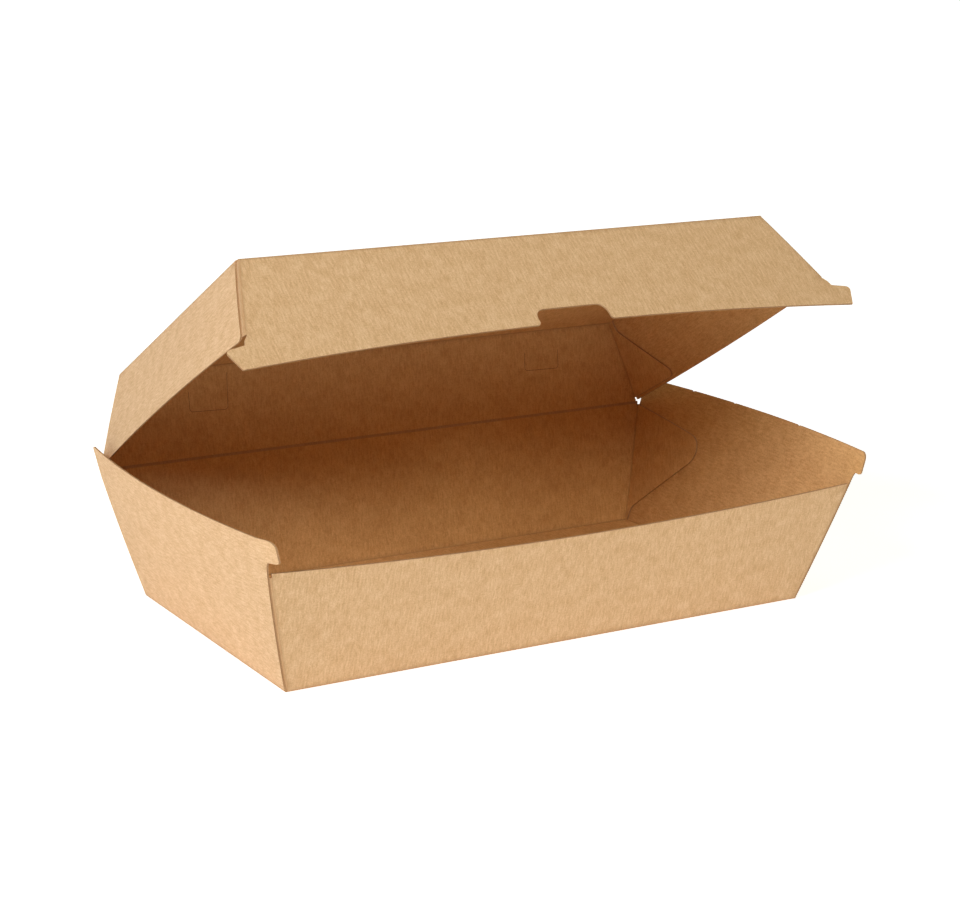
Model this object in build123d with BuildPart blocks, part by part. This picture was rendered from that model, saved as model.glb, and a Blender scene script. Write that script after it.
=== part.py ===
"""Takeaway box: one folded sheet of micro-flute board, as a tray and a lid that turns on its back crease."""
import os
from math import atan, cos, degrees, radians, sin, sqrt, tan

from build123d import *

# ---- driving dimensions, in mm and degrees ----
board = 0.8                 # thickness of the micro-flute board
fold_radius = 0.7           # outside radius of a creased fold

base_length = 261.2         # the base, outside its folds
base_width = 133.6
end_lean = 14.7             # lean of each wall, out from upright
front_lean = 13.7
back_lean = 15.5
hinge_height = 55.7         # height of the crease that the lid turns on
front_rise = 0.7            # front wall at its corners, above the hinge's height
front_dip = 5.0             # its top edge is cut lower in the middle

hook_rise = 15.8            # top edge of an end wall above the hinge's height, at its hook and at its ear
ear_rise = 12.1
bow_rise = 19.3             # height above the hinge's at which the bow of the end walls is given
end_step = 0.8              # how far the end walls stand out there, at their corners
end_bow = 7.0               # and how much further at their middle
bow_overhang = 15.2         # the bow comes to nothing this far in front of the base and behind it
edge_gap = 0.6              # from an end wall's cut edges to the skin of the front and back walls

hook_length = 4.6           # front hook of an end wall, out from the front wall's skin
hook_bottom_rise = 5.9      # its lower edge and the notch below it, above the hinge's height
hook_notch_rise = 3.9
hook_radius = 3.2
hook_tip_radius = 1.4
ear_setback = 1.25          # rear ear of an end wall, in from the hinge
ear_radius = 2.0

flap_drop = 0.6             # glue flaps of the tray: their top corner, below the wall's top
flap_length = 44.3          # from the base's fold to their nose before rounding
front_flap_nose_drop = 22.7     # their nose, below the hinge's height
back_flap_nose_drop = 8.4
flap_nose_radius = 7.5
flap_foot_inset = 1.8       # where their lower edge turns down to the base, in from the base's fold
flap_foot_height = 7.2
flap_foot_radius = 5.0

lid_height = 39.0           # from the hinge to the top of the lid
lid_length_over = 2.4       # the top panel, longer than the base
lid_front_over = 0.6        # its front and back folds, outside those of the base
lid_back_over = 1.5
lid_front_clearance = 1.6   # skin of the shut lid's front panel, outside the tray's at the hinge's height
lid_end_inset = 0.74        # corners of its end walls, inside the tray's at the hinge
lid_end_bow = 4.0           # bow of the lid's end walls at the hinge's height
lid_rim = 1.0               # lower edge of the lid's end walls, above the hinge
lid_slot = 2.0              # slot between their front edge and the skin of the front panel
lid_rim_radius = 2.0

panel_join = 6.0            # height above the hinge where the lid's front wall becomes its shaped panel
panel_corner_drop = 13.2    # lower corners of the front panel, below the hinge
panel_middle_drop = 7.1     # and its lower edge in the middle
panel_corner_over = 4.8     # and beyond the corner of the tray at the hinge
lock_ear_over = 9.1         # lock ears on the front panel, beyond it
lock_ear_root_drop = 2.2
lock_ear_tip_drop = 4.0
lock_ear_radius = 1.8

notch_middle = 6.4          # thumb notch in the front panel
notch_width = 35.4
notch_rise = 0.6            # its top, above the hinge
notch_radius = 4.8
notch_lip_radius = 1.5

lid_flap_length = 21.4      # glue flaps of the lid: from the top's fold to their nose before rounding
lid_flap_nose_radius = 2.7
lid_flap_rim = 2.0          # their lower edge, above the hinge
lid_flap_shoulder_inset = 1.1
lid_flap_shoulder_drop = 5.8    # below the top
lid_flap_shoulder_radius = 5.0
lid_flap_top_inset = 2.6

hinge_setback = 0.45        # each back wall stops this far from the axis of the crease
relief_radius = 1.7         # die-cut relief at each end of the crease
rest_opening = 32.5         # how far the lid stands open

# ---- sizes that follow ----
wide = 2 * base_length      # longer than anything it is used to cut
hinge_y = base_width / 2 + hinge_height * tan(radians(back_lean))
hinge_axis = Axis((0, hinge_y, hinge_height), (-1, 0, 0))
front_height = hinge_height + front_rise
end_top = hinge_height + bow_rise
end_span = base_width + 2 * bow_overhang
hook_bottom = hinge_height + hook_bottom_rise
hook_notch = hinge_height + hook_notch_rise
hook_root = base_width / 2 + hook_bottom * tan(radians(front_lean))
hook_reach = hook_root + hook_length
ear_reach = hinge_y - ear_setback
ear_root = (ear_reach + edge_gap - base_width / 2) / tan(radians(back_lean))
flap_nose_reach = base_width / 2 - flap_length
flap_foot_reach = base_width / 2 - flap_foot_inset

lid_top = hinge_height + lid_height
lid_length = base_length + lid_length_over
lid_front = base_width / 2 + lid_front_over
lid_back = base_width / 2 + lid_back_over
lid_back_lean = degrees(atan((hinge_y - lid_back) / lid_height))
lid_front_foot = base_width / 2 + hinge_height * tan(radians(front_lean)) + lid_front_clearance
lid_front_lean = degrees(atan((lid_front_foot - lid_front) / lid_height))
tray_corner = base_length / 2 + hinge_height * (tan(radians(end_lean)) + end_step / end_top)
lid_end_lean = degrees(atan((tray_corner - lid_end_inset - lid_length / 2) / lid_height))
panel_corner_reach = tray_corner + panel_corner_over
lock_ear_reach = tray_corner + lock_ear_over
crease_bevel = radians(back_lean + lid_back_lean) / 2
crease_tilt = radians(lid_back_lean - back_lean) / 2


def lean(angle, height):
    """How far a leaning wall has moved outwards at this height."""
    return height * tan(radians(angle))


def end_middle(height):
    """Distance from the middle of the tray to the core of an end wall, at its corners, at this height."""
    foot = base_length / 2 - board / 2 / cos(radians(end_lean))
    return foot + lean(end_lean, height) + end_step * height / end_top


def lid_end_middle(height):
    """The same for the lid's end walls, at this height above the hinge."""
    return lid_length / 2 - board / 2 / cos(radians(lid_end_lean)) + lean(lid_end_lean, lid_height - height)


def bow_at(y, bow, span):
    """Outward bow of an end wall at y: an arc that comes to nothing at the ends of its span."""
    radius = (span ** 2 / 4 + bow ** 2) / (2 * bow)
    return sqrt(radius ** 2 - y ** 2) - (radius - bow)


def level_outline(half_length, bow, span):
    """Outline of a level cut through the space between two end walls, longer each way than any wall."""
    reach = span / 2 + hook_reach - hook_root + fold_radius
    edge_x, middle_x = half_length, half_length
    if bow:
        edge_x += bow_at(reach, bow, span)
        middle_x += bow
    with BuildLine() as outline:
        Line((-edge_x, -reach), (edge_x, -reach))
        Line((edge_x, reach), (-edge_x, reach))
        for side in (-1, 1):
            if bow:
                ThreePointArc((side * edge_x, -reach), (side * middle_x, 0), (side * edge_x, reach))
            else:
                Line((side * edge_x, -reach), (side * edge_x, reach))
    return outline.line


def space_between(low_height, low_outline, high_height, high_outline):
    """Solid with straight sides from one level outline up to another."""
    with BuildPart() as space:
        with BuildSketch(Plane.XY.offset(low_height)):
            add(low_outline)
            make_face()
        with BuildSketch(Plane.XY.offset(high_height)):
            add(high_outline)
            make_face()
        loft(ruled=True)
    return space.part


def tray_space(boards):
    """The space between the tray's end walls, this many boards in from their skins."""
    foot_half = base_length / 2 - boards * board / cos(radians(end_lean))
    head_half = foot_half + lean(end_lean, end_top) + end_step
    return space_between(0, level_outline(foot_half, 0, end_span),
                         end_top, level_outline(head_half, end_bow, end_span))


def lid_space(boards):
    """The space between the closed lid's end walls, this many boards in from their skins."""
    head_half = lid_length / 2 - boards * board / cos(radians(lid_end_lean))
    foot_half = head_half + lean(lid_end_lean, lid_height)
    return space_between(hinge_height, level_outline(foot_half, lid_end_bow, end_span),
                         lid_top, level_outline(head_half, 0, end_span))


def crease_edge(sign, wall_lean):
    """Outer and inner corner of a back wall's bevelled edge: sign is -1 for the tray, 1 for the lid."""
    outer_y = hinge_y - hinge_setback * sin(radians(wall_lean))
    outer_z = hinge_height + sign * hinge_setback * cos(radians(wall_lean))
    bevel = board / cos(crease_bevel)
    return (outer_y, outer_z), (outer_y - bevel * cos(crease_tilt), outer_z - bevel * sin(crease_tilt))


# solids that shape the panels, made before them
tray_skin = tray_space(0)
tray_core = tray_space(1 / 2)
tray_inside = tray_space(1)
tray_hollow = tray_space(2)
lid_skin = lid_space(0)
lid_core = lid_space(1 / 2)
lid_inside = lid_space(1)
lid_hollow = lid_space(2)

# ---- tray: the base with the front and back walls, one bent strip ----
front_inset = board / cos(radians(front_lean))
back_inset = board / cos(radians(back_lean))
tray_crease_outer, tray_crease_inner = crease_edge(-1, back_lean)

with BuildPart() as tray_strip:
    with BuildSketch(Plane.YZ) as strip_profile:
        with BuildLine():
            Polyline(
                (-base_width / 2, 0),
                (-base_width / 2 - lean(front_lean, front_height), front_height),
                (front_inset - base_width / 2 - lean(front_lean, front_height), front_height),
                (front_inset - base_width / 2 - lean(front_lean, board), board),
                (base_width / 2 + lean(back_lean, board) - back_inset, board),
                tray_crease_inner,
                tray_crease_outer,
                (base_width / 2, 0),
                close=True,
            )
        make_face()
        fillet(strip_profile.vertices().group_by(Axis.Y)[0], fold_radius)
    extrude(amount=wide, both=True)
    with BuildSketch(Plane.XZ):
        with BuildLine():
            Polyline((-end_middle(0), 0), (-end_middle(front_height), front_height),
                     (end_middle(front_height), front_height), (end_middle(0), 0), close=True)
        make_face()
    extrude(amount=wide, both=True, mode=Mode.INTERSECT)
    with BuildSketch(Plane.XZ):
        with BuildLine():
            rim_arc = ThreePointArc((-end_middle(front_height), front_height),
                                    (0, front_height - front_dip),
                                    (end_middle(front_height), front_height))
            Line(rim_arc @ 0, rim_arc @ 1)
        make_face()
    extrude(amount=wide, mode=Mode.SUBTRACT)

# ---- tray: end walls, with a hook in front and an ear behind ----
with BuildPart() as tray_ends:
    add(tray_skin)
    add(tray_inside, mode=Mode.SUBTRACT)
    fillet(tray_ends.edges().group_by(Axis.Z)[0].group_by(Axis.X)[0], fold_radius)
    fillet(tray_ends.edges().group_by(Axis.Z)[0].group_by(Axis.X)[-1], fold_radius)
    with BuildSketch(Plane.YZ) as end_outline:
        with BuildLine():
            Polyline(
                (edge_gap - base_width / 2, 0),
                (edge_gap - base_width / 2 - lean(front_lean, hook_notch), hook_notch),
                (-hook_root, hook_bottom),
                (-hook_reach, hook_bottom),
                (-hook_reach, hinge_height + hook_rise),
                (ear_reach, hinge_height + ear_rise),
                (ear_reach, ear_root),
                (base_width / 2 - edge_gap, 0),
                close=True,
            )
        make_face()
        hook_corners = end_outline.vertices().group_by(Axis.X)[0].sort_by(Axis.Y)
        fillet(hook_corners[0], hook_tip_radius)
        fillet(hook_corners[-1], hook_radius)
        fillet(end_outline.vertices().group_by(Axis.X)[-1].sort_by(Axis.Y)[-1], ear_radius)
    extrude(amount=wide, both=True, mode=Mode.INTERSECT)

# ---- tray: glue flaps, folded from the front and back walls against the end walls ----
with BuildPart() as tray_flaps:
    add(tray_core)
    add(tray_hollow, mode=Mode.SUBTRACT)
    with BuildSketch(Plane.YZ) as flap_outline:
        for side, wall_lean, wall_top, nose_drop in (
                (-1, front_lean, front_height, front_flap_nose_drop),
                (1, back_lean, hinge_height, back_flap_nose_drop)):
            flap_root = base_width / 2 - board / 2
            flap_top = wall_top - flap_drop
            with BuildLine():
                Polyline(
                    (side * (flap_root + lean(wall_lean, flap_top)), flap_top),
                    (side * flap_nose_reach, hinge_height - nose_drop),
                    (side * flap_foot_reach, flap_foot_height),
                    (side * flap_foot_reach, board / 2),
                    (side * (flap_root + lean(wall_lean, board / 2)), board / 2),
                    close=True,
                )
            make_face()
        fillet(flap_outline.vertices().filter_by(lambda v: abs(abs(v.X) - flap_nose_reach) < board),
               flap_nose_radius)
        fillet(flap_outline.vertices().filter_by(lambda v: abs(v.Y - flap_foot_height) < board),
               flap_foot_radius)
    extrude(amount=wide, both=True, mode=Mode.INTERSECT)

# ---- tray, whole: with a relief at each end of the crease ----
with BuildPart() as tray:
    add(tray_strip.part)
    add(tray_flaps.part)
    with BuildSketch(Plane((0, hinge_y, hinge_height), x_dir=(1, 0, 0), z_dir=(0, 1, 0))):
        with Locations((-end_middle(hinge_height), 0), (end_middle(hinge_height), 0)):
            Circle(relief_radius)
    extrude(amount=4 * board, both=True, mode=Mode.SUBTRACT)
    add(tray_ends.part)

# ---- lid, drawn closed: its back wall, top and front wall, one bent strip ----
lid_crease_outer, lid_crease_inner = crease_edge(1, lid_back_lean)
lid_front_inset = board / cos(radians(lid_front_lean))
lid_back_inset = board / cos(radians(lid_back_lean))

lid_join_y = -lid_front - lean(lid_front_lean, lid_height - panel_join)

with BuildPart() as lid_strip:
    with BuildSketch(Plane.YZ) as lid_profile:
        with BuildLine():
            Polyline(
                (lid_join_y, hinge_height + panel_join),
                (-lid_front, lid_top),
                (lid_back, lid_top),
                lid_crease_outer,
                lid_crease_inner,
                (lid_back + lean(lid_back_lean, board) - lid_back_inset, lid_top - board),
                (lid_front_inset - lid_front - lean(lid_front_lean, board), lid_top - board),
                (lid_join_y + lid_front_inset, hinge_height + panel_join),
                close=True,
            )
        make_face()
        fillet(lid_profile.vertices().group_by(Axis.Y)[-1], fold_radius)
    extrude(amount=wide, both=True)
    with BuildSketch(Plane.XZ):
        with BuildLine():
            Polyline((-lid_end_middle(0), hinge_height), (-lid_end_middle(lid_height), lid_top),
                     (lid_end_middle(lid_height), lid_top), (lid_end_middle(0), hinge_height), close=True)
        make_face()
    extrude(amount=wide, both=True, mode=Mode.INTERSECT)

# ---- lid: the lower part of the front panel, with its lock ears and thumb notch ----
front_panel_plane = Plane(
    origin=(0, -lid_front_foot, hinge_height),
    x_dir=(1, 0, 0),
    z_dir=(0, -cos(radians(lid_front_lean)), sin(radians(lid_front_lean))),
)
along_panel = 1 / cos(radians(lid_front_lean))

with BuildPart() as front_panel:
    with BuildSketch(front_panel_plane) as panel_outline:
        with BuildLine():
            lower_edge = ThreePointArc((-panel_corner_reach, -panel_corner_drop * along_panel),
                                       (0, -panel_middle_drop * along_panel),
                                       (panel_corner_reach, -panel_corner_drop * along_panel))
            for side in (-1, 1):
                Polyline(
                    (side * panel_corner_reach, -panel_corner_drop * along_panel),
                    (side * lock_ear_reach, -lock_ear_tip_drop * along_panel),
                    (side * (lid_end_middle(0) + board), -lock_ear_root_drop * along_panel),
                    (side * lid_end_middle(0), 0),
                    (side * lid_end_middle(2 * panel_join), 2 * panel_join * along_panel),
                )
            Line((-lid_end_middle(2 * panel_join), 2 * panel_join * along_panel),
                 (lid_end_middle(2 * panel_join), 2 * panel_join * along_panel))
        make_face()
        fillet(panel_outline.vertices().filter_by(lambda v: abs(abs(v.X) - lock_ear_reach) < board),
               lock_ear_radius)
    extrude(amount=-board)
    with BuildSketch(front_panel_plane) as notch_outline:
        notch_foot = -(panel_corner_drop + panel_middle_drop) / 2 * along_panel
        with Locations((notch_middle, notch_foot)):
            Rectangle(notch_width, notch_rise * along_panel - notch_foot, align=(Align.CENTER, Align.MIN))
        fillet(notch_outline.vertices().group_by(Axis.Y)[-1], notch_radius)
    extrude(amount=-board, mode=Mode.SUBTRACT)
    notch_lips = front_panel.edges().filter_by(
        lambda e: e.length < 2 * board and e.center().Z < hinge_height - panel_middle_drop / 2
        and abs(abs(e.center().X - notch_middle) - notch_width / 2) < board / 4)
    fillet(notch_lips, notch_lip_radius)

# ---- lid: end walls ----
with BuildPart() as lid_ends:
    add(lid_skin)
    add(lid_inside, mode=Mode.SUBTRACT)
    fillet(lid_ends.edges().group_by(Axis.Z)[-1].group_by(Axis.X)[0], fold_radius)
    fillet(lid_ends.edges().group_by(Axis.Z)[-1].group_by(Axis.X)[-1], fold_radius)
    with BuildSketch(Plane.YZ) as lid_end_outline:
        with BuildLine():
            Polyline(
                (lid_slot - lid_front_foot + lean(lid_front_lean, lid_rim), hinge_height + lid_rim),
                (lid_slot - lid_front, lid_top),
                (lid_back - edge_gap, lid_top),
                (hinge_y - edge_gap - lean(lid_back_lean, lid_rim), hinge_height + lid_rim),
                close=True,
            )
        make_face()
        fillet(lid_end_outline.vertices().group_by(Axis.X)[0], lid_rim_radius)
    extrude(amount=wide, both=True, mode=Mode.INTERSECT)

# ---- lid: glue flaps, folded from its front and back walls against its end walls ----
with BuildPart() as lid_flaps:
    add(lid_core)
    add(lid_hollow, mode=Mode.SUBTRACT)
    with BuildSketch(Plane.YZ) as lid_flap_outline:
        for side, top_fold, wall_lean in ((-1, lid_front, lid_front_lean), (1, lid_back, lid_back_lean)):
            head_y = top_fold - board / 2 + lean(wall_lean, board / 2)
            rim_y = top_fold - board / 2 + lean(wall_lean, lid_height - lid_flap_rim)
            with BuildLine():
                Polyline(
                    (side * rim_y, hinge_height + lid_flap_rim),
                    (side * (lid_front - lid_flap_length), hinge_height + lid_flap_rim),
                    (side * (lid_front - lid_flap_shoulder_inset), lid_top - lid_flap_shoulder_drop),
                    (side * (lid_front - lid_flap_top_inset), lid_top - board / 2),
                    (side * head_y, lid_top - board / 2),
                    close=True,
                )
            make_face()
        noses = lid_flap_outline.vertices().filter_by(
            lambda v: abs(abs(v.X) - lid_front + lid_flap_length) < board)
        fillet(noses, lid_flap_nose_radius)
        shoulders = lid_flap_outline.vertices().filter_by(
            lambda v: abs(v.Y - lid_top + lid_flap_shoulder_drop) < board)
        fillet(shoulders, lid_flap_shoulder_radius)
    extrude(amount=wide, both=True, mode=Mode.INTERSECT)

# ---- lid, whole: with its half of the reliefs ----
with BuildPart() as closed_lid:
    add(lid_strip.part)
    add(lid_flaps.part)
    with BuildSketch(Plane((0, hinge_y, hinge_height), x_dir=(1, 0, 0), z_dir=(0, 1, 0))):
        with Locations((-lid_end_middle(0), 0), (lid_end_middle(0), 0)):
            Circle(relief_radius)
    extrude(amount=4 * board, both=True, mode=Mode.SUBTRACT)
    add(front_panel.part)
    add(lid_ends.part)

with BuildPart() as lid:
    add(closed_lid.part.rotate(hinge_axis, rest_opening))

tray.part.label = "tray"
lid.part.label = "lid"
os.makedirs("parts", exist_ok=True)
export_step(tray.part, "parts/tray.step")
export_step(lid.part, "parts/lid.step")
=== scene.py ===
from math import asin, acos, atan, ceil, cos, degrees, pi, radians, sin, sqrt, tan

import bmesh
import bpy
import numpy as np
from mathutils import Matrix, Vector
from mathutils.geometry import delaunay_2d_cdt, intersect_line_line


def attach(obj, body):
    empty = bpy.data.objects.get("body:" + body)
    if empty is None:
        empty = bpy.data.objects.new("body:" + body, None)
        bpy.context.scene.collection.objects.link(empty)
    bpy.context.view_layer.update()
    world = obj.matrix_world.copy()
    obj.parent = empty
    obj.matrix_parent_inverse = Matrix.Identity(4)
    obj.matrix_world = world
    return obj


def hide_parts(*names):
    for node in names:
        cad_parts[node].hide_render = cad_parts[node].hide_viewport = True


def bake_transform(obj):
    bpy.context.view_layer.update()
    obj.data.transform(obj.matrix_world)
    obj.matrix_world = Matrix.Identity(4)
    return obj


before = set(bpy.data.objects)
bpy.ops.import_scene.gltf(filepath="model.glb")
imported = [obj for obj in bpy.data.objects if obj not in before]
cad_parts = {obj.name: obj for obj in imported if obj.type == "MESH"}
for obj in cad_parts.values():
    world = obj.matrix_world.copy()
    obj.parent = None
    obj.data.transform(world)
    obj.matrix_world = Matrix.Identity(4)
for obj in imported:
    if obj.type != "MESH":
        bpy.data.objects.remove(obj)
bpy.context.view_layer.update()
mm = 0.001      # every size below is in millimetres and degrees

board = dict(
    thick=0.8,          # micro-flute board: two liners with a fluted sheet between them
    liner=0.15,         # one paper face
    groove=0.2,         # how far the fluted sheet stands back from a cut edge
    fold=0.95,          # from the corner of a fold to where the panel goes flat
    foldSteps=6,
    flatRow=0.8,        # a row of points this far from each fold keeps the panel flat beside it
    glue=0.05,          # between a glued flap and the wall it is stuck to
    step=5.0,           # spacing of the mesh
    roundStep=14,       # and of its arcs, in degrees
)


# ---- shapes shared by the tray and the lid ----
def bow(at, height, span):     # an arc over a span: its height at this distance from the middle
    radius = (span ** 2 / 4 + height ** 2) / (2 * height)
    return sqrt(radius ** 2 - at ** 2) - (radius - height)


def roundedPath(corners):      # corners are (along, up, radius)
    path = []
    for i, (along, up, radius) in enumerate(corners):
        here = Vector((along, up))
        if not radius:
            path.append(here)
            continue
        back = (Vector(corners[i - 1][:2]) - here).normalized()
        ahead = (Vector(corners[i + 1][:2]) - here).normalized()
        half = back.angle(ahead) / 2
        turn = pi - 2 * half
        centre = here + (back + ahead).normalized() * radius / sin(half)
        first = here + back * radius / tan(half) - centre
        last = here + ahead * radius / tan(half) - centre
        steps = max(2, round(degrees(turn) / board["roundStep"]))
        for k in range(steps + 1):
            share = turn * k / steps
            path.append(centre + (first * sin(turn - share) + last * sin(share)) / sin(turn))
    return path


def divided(path):
    points = [path[0]]
    for start, end in zip(path, path[1:]):
        parts = max(1, ceil((end - start).length / board["step"]))
        points += [start.lerp(end, k / parts) for k in range(1, parts + 1)]
    return points


def spread(low, high):         # evenly spaced values from low to high
    return np.linspace(low, high, 1 + ceil(abs(high - low) / board["step"]))


def insidePoints(rim, step):   # a grid of points inside the rim and clear of it
    start = np.array([list(p) for p in rim])
    run = np.roll(start, -1, 0) - start
    low, high = start.min(0), start.max(0)
    grid = np.array([(x, y) for i, y in enumerate(np.arange(low[1] + step / 2, high[1], step))
                     for x in np.arange(low[0] + step / 2 * (1 + i % 2), high[0], step)])
    if not len(grid):
        return []
    off = grid[:, None] - start
    crosses = (start[:, 1] > grid[:, None, 1]) != (start[:, 1] + run[:, 1] > grid[:, None, 1])
    with np.errstate(divide="ignore", invalid="ignore"):
        left = off[:, :, 0] < run[:, 0] * off[:, :, 1] / run[:, 1]
    share = np.clip((off * run).sum(2) / (run ** 2).sum(1), 0, 1)
    clear = np.linalg.norm(off - share[:, :, None] * run, axis=2).min(1)
    keep = ((crosses & left).sum(1) % 2 == 1) & (clear > step * 0.4)
    return [Vector(p) for p in grid[keep]]


class Sheet:
    # one folded board: both faces, its folds and its cut edges, as one closed surface

    def __init__(self):
        self.mesh = bmesh.new()
        self.blank = self.mesh.verts.layers.float_vector.new("blank")     # where a point lies on the flat sheet
        # crease: how much painted fold shade a point takes, 1 in a bend and 0.5 on a fold's edge
        self.crease = self.mesh.verts.layers.float.new("crease")
        self.folds = {}
        self.edges = []        # cut edges, for the fluted sheet between the liners

    def point(self, place, flat, crease=0.0):
        vert = self.mesh.verts.new(place)
        vert[self.blank] = Vector((flat[0], flat[1], flat[2] if len(flat) > 2 else 0)) * mm
        vert[self.crease] = crease
        return vert

    def face(self, verts, material=0):
        self.mesh.faces.new(verts).material_index = material

    # place gives a point of the panel at some depth in the board, flat its point on the flat sheet.
    # stretches go round the panel: ("cut", corners) is a cut edge, ("hinge", points) the end at the hinge,
    # and (any other name, points) a fold.
    def panel(self, place, flat, stretches):
        rim, kinds = [], []
        for i, (kind, points) in enumerate(stretches):
            following = stretches[(i + 1) % len(stretches)]
            if kind == "cut":
                before = (*stretches[i - 1][1][-1], 0)
                after = (*following[1][0][:2], 0)
                points = divided(roundedPath([before, *points, after]))[1:-1]
                rim += points
                kinds += ["cut"] * len(points)
            else:
                rim += [Vector(p) for p in points]
                kinds += [kind] * (len(points) - 1) + ["cut"]
        count = len(rim)
        turns = sum(rim[i].x * rim[(i + 1) % count].y - rim[i].y * rim[(i + 1) % count].x for i in range(count))
        side = 1 if turns > 0 else -1
        across = []
        for i in range(count):
            run = (rim[(i + 1) % count] - rim[i]).normalized()
            across.append(Vector((-run.y, run.x)) * side)
        inward = []
        for i in range(count):
            folded = [across[k] for k in (i - 1, i) if kinds[k] != "cut"]
            both = folded if len(folded) == 1 else [across[i - 1], across[i]]
            inward.append(sum(both, Vector((0, 0))).normalized())
        row = [rim[i] + inward[i] * board["flatRow"] for i in range(count)
               if kinds[i] != "cut" and kinds[i - 1] == kinds[i]]
        coords = rim + row + insidePoints(rim, board["step"])
        verts, _, faces, origin, _, _ = delaunay_2d_cdt(coords, [], [list(range(count))], 1, 1e-5)
        at = {source: new for new, sources in enumerate(origin) for source in sources}
        thick, liner = board["thick"], board["liner"]
        # points on a fold's edge take half the painted fold shade
        onFold = {at[i] for i in range(count) if not {kinds[i], kinds[i - 1]} <= {"cut", "hinge"}}
        outer = [self.point(place(v.x, v.y, 0), flat(v.x, v.y), 0.5 * (i in onFold)) for i, v in enumerate(verts)]
        # the inner skin's blank depth of 500 marks it for the painted inner shade tint
        inner = [self.point(place(v.x, v.y, thick), (*flat(v.x, v.y), 500), 0.5 * (i in onFold))
                 for i, v in enumerate(verts)]
        for face in faces:
            self.face([outer[i] for i in face])
            self.face([inner[i] for i in reversed(face)])

        ladders = []
        for i in range(count):
            ladder = [outer[at[i]], inner[at[i]]]
            if kinds[i] == kinds[i - 1] == "cut":
                edge, deep = rim[i], rim[i] + inward[i] * board["groove"]
                steps = [(edge, liner), (deep, liner), (deep, thick - liner), (edge, thick - liner)]
                ladder[1:1] = [self.point(place(p.x, p.y, depth), flat(p.x, p.y)) for p, depth in steps]
            ladders.append(ladder)
        for i in range(count):
            one, two = ladders[i], ladders[(i + 1) % count]
            if kinds[i] not in ("cut", "hinge"):
                continue
            if len(one) == len(two):
                for k in range(len(one) - 1):
                    self.face([one[k], two[k], two[k + 1], one[k + 1]], int(len(one) > 2))
                continue
            full, bare = (one, two) if len(one) > 2 else (two, one)
            self.face([full[0], bare[0], full[1]], 1)
            self.face([full[1], bare[0], full[2]], 1)
            self.face([full[2], bare[0], bare[1], full[3]], 1)
            self.face([full[3], bare[1], full[4]], 1)
            self.face([full[4], bare[1], full[5]], 1)

        # the points of each fold, with the direction in which each face runs into it
        for name in {k for k in kinds if k not in ("cut", "hinge")}:
            line = []
            first = next(i for i in range(count) if kinds[i] == name and kinds[i - 1] != name)
            for i in range(first, first + kinds.count(name) + 1):
                i %= count
                p, q = rim[i], rim[i] + inward[i] * board["flatRow"]
                runs = [place(p.x, p.y, depth) - place(q.x, q.y, depth) for depth in (0, thick)]
                line.append(([outer[at[i]], inner[at[i]]], runs))
            self.folds.setdefault(name, []).append(line)

        # cut edges in order, for the fluting: place, direction through the board, direction into it, and blank
        edge = []
        first = next((i for i in range(count) if kinds[i] == "cut" and kinds[i - 1] != "cut"), 0)
        for i in [*range(first, count), *range(first)]:
            if kinds[i] == "cut":
                p, q = rim[i], rim[i] + inward[i]
                middle = place(p.x, p.y, thick / 2)
                edge.append((middle, (place(p.x, p.y, thick) - place(p.x, p.y, 0)).normalized(),
                             (place(q.x, q.y, thick / 2) - middle).normalized(), flat(p.x, p.y)[0]))
            elif len(edge) > 2:
                self.edges.append(edge)
                edge = []
            else:
                edge = []
        if len(edge) > 2:
            self.edges.append(edge)

    def foldUp(self):          # joins each pair of panels round the fold between them
        steps = board["foldSteps"]
        for name, (one, two) in self.folds.items():
            start, end = one[0][0][0].co, one[-1][0][0].co
            if (start - two[0][0][0].co).length > (start - two[-1][0][0].co).length:
                two = two[::-1]
            rows = []
            for (fromVerts, fromRuns), (toVerts, toRuns) in zip(one, two):
                skins = []
                for skin in (0, 1):
                    a, b = fromVerts[skin], toVerts[skin]
                    meet = intersect_line_line(a.co, a.co + fromRuns[skin], b.co, b.co + toRuns[skin])
                    corner = (meet[0] + meet[1]) / 2
                    strip = [a]
                    for k in range(1, steps):
                        t = k / steps
                        co = a.co * (1 - t) ** 2 + corner * 2 * t * (1 - t) + b.co * t ** 2
                        # crease 1.0: the bend takes the full painted fold shade
                        strip.append(self.point(co, a[self.blank].lerp(b[self.blank], t) / mm, 1.0))
                    skins.append(strip + [b])
                rows.append(skins)
            for near, far in zip(rows, rows[1:]):
                for skin in (0, 1):
                    for k in range(steps):
                        self.face([near[skin][k], far[skin][k], far[skin][k + 1], near[skin][k + 1]])
            for outerStrip, innerStrip in (rows[0], rows[-1]):
                for k in range(steps):
                    self.face([outerStrip[k], outerStrip[k + 1], innerStrip[k + 1], innerStrip[k]], 1)

    def finish(self, name, turn, materials):
        bmesh.ops.recalc_face_normals(self.mesh, faces=self.mesh.faces)
        loose = sum(len(e.link_faces) != 2 for e in self.mesh.edges)
        print(name, len(self.mesh.faces), "faces,", loose, "open edges")
        mesh = bpy.data.meshes.new(name)
        self.mesh.to_mesh(mesh)
        self.mesh.free()
        return addObject(name, mesh, turn, materials)


def addObject(name, mesh, turn, materials):
    mesh.transform(turn)
    for material in materials:
        mesh.materials.append(material)
    mesh.polygons.foreach_set("use_smooth", [True] * len(mesh.polygons))
    mesh.set_sharp_from_angle(angle=radians(35))
    piece = bpy.data.objects.new(name, mesh)
    bpy.context.scene.collection.objects.link(piece)
    return piece


# ---- materials ----
def fromHex(text, alpha=1.0):
    values = [int(text[i:i + 2], 16) / 255 for i in (1, 3, 5)]
    return [v / 12.92 if v <= 0.04045 else ((v + 0.055) / 1.055) ** 2.4 for v in values] + [alpha]


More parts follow.
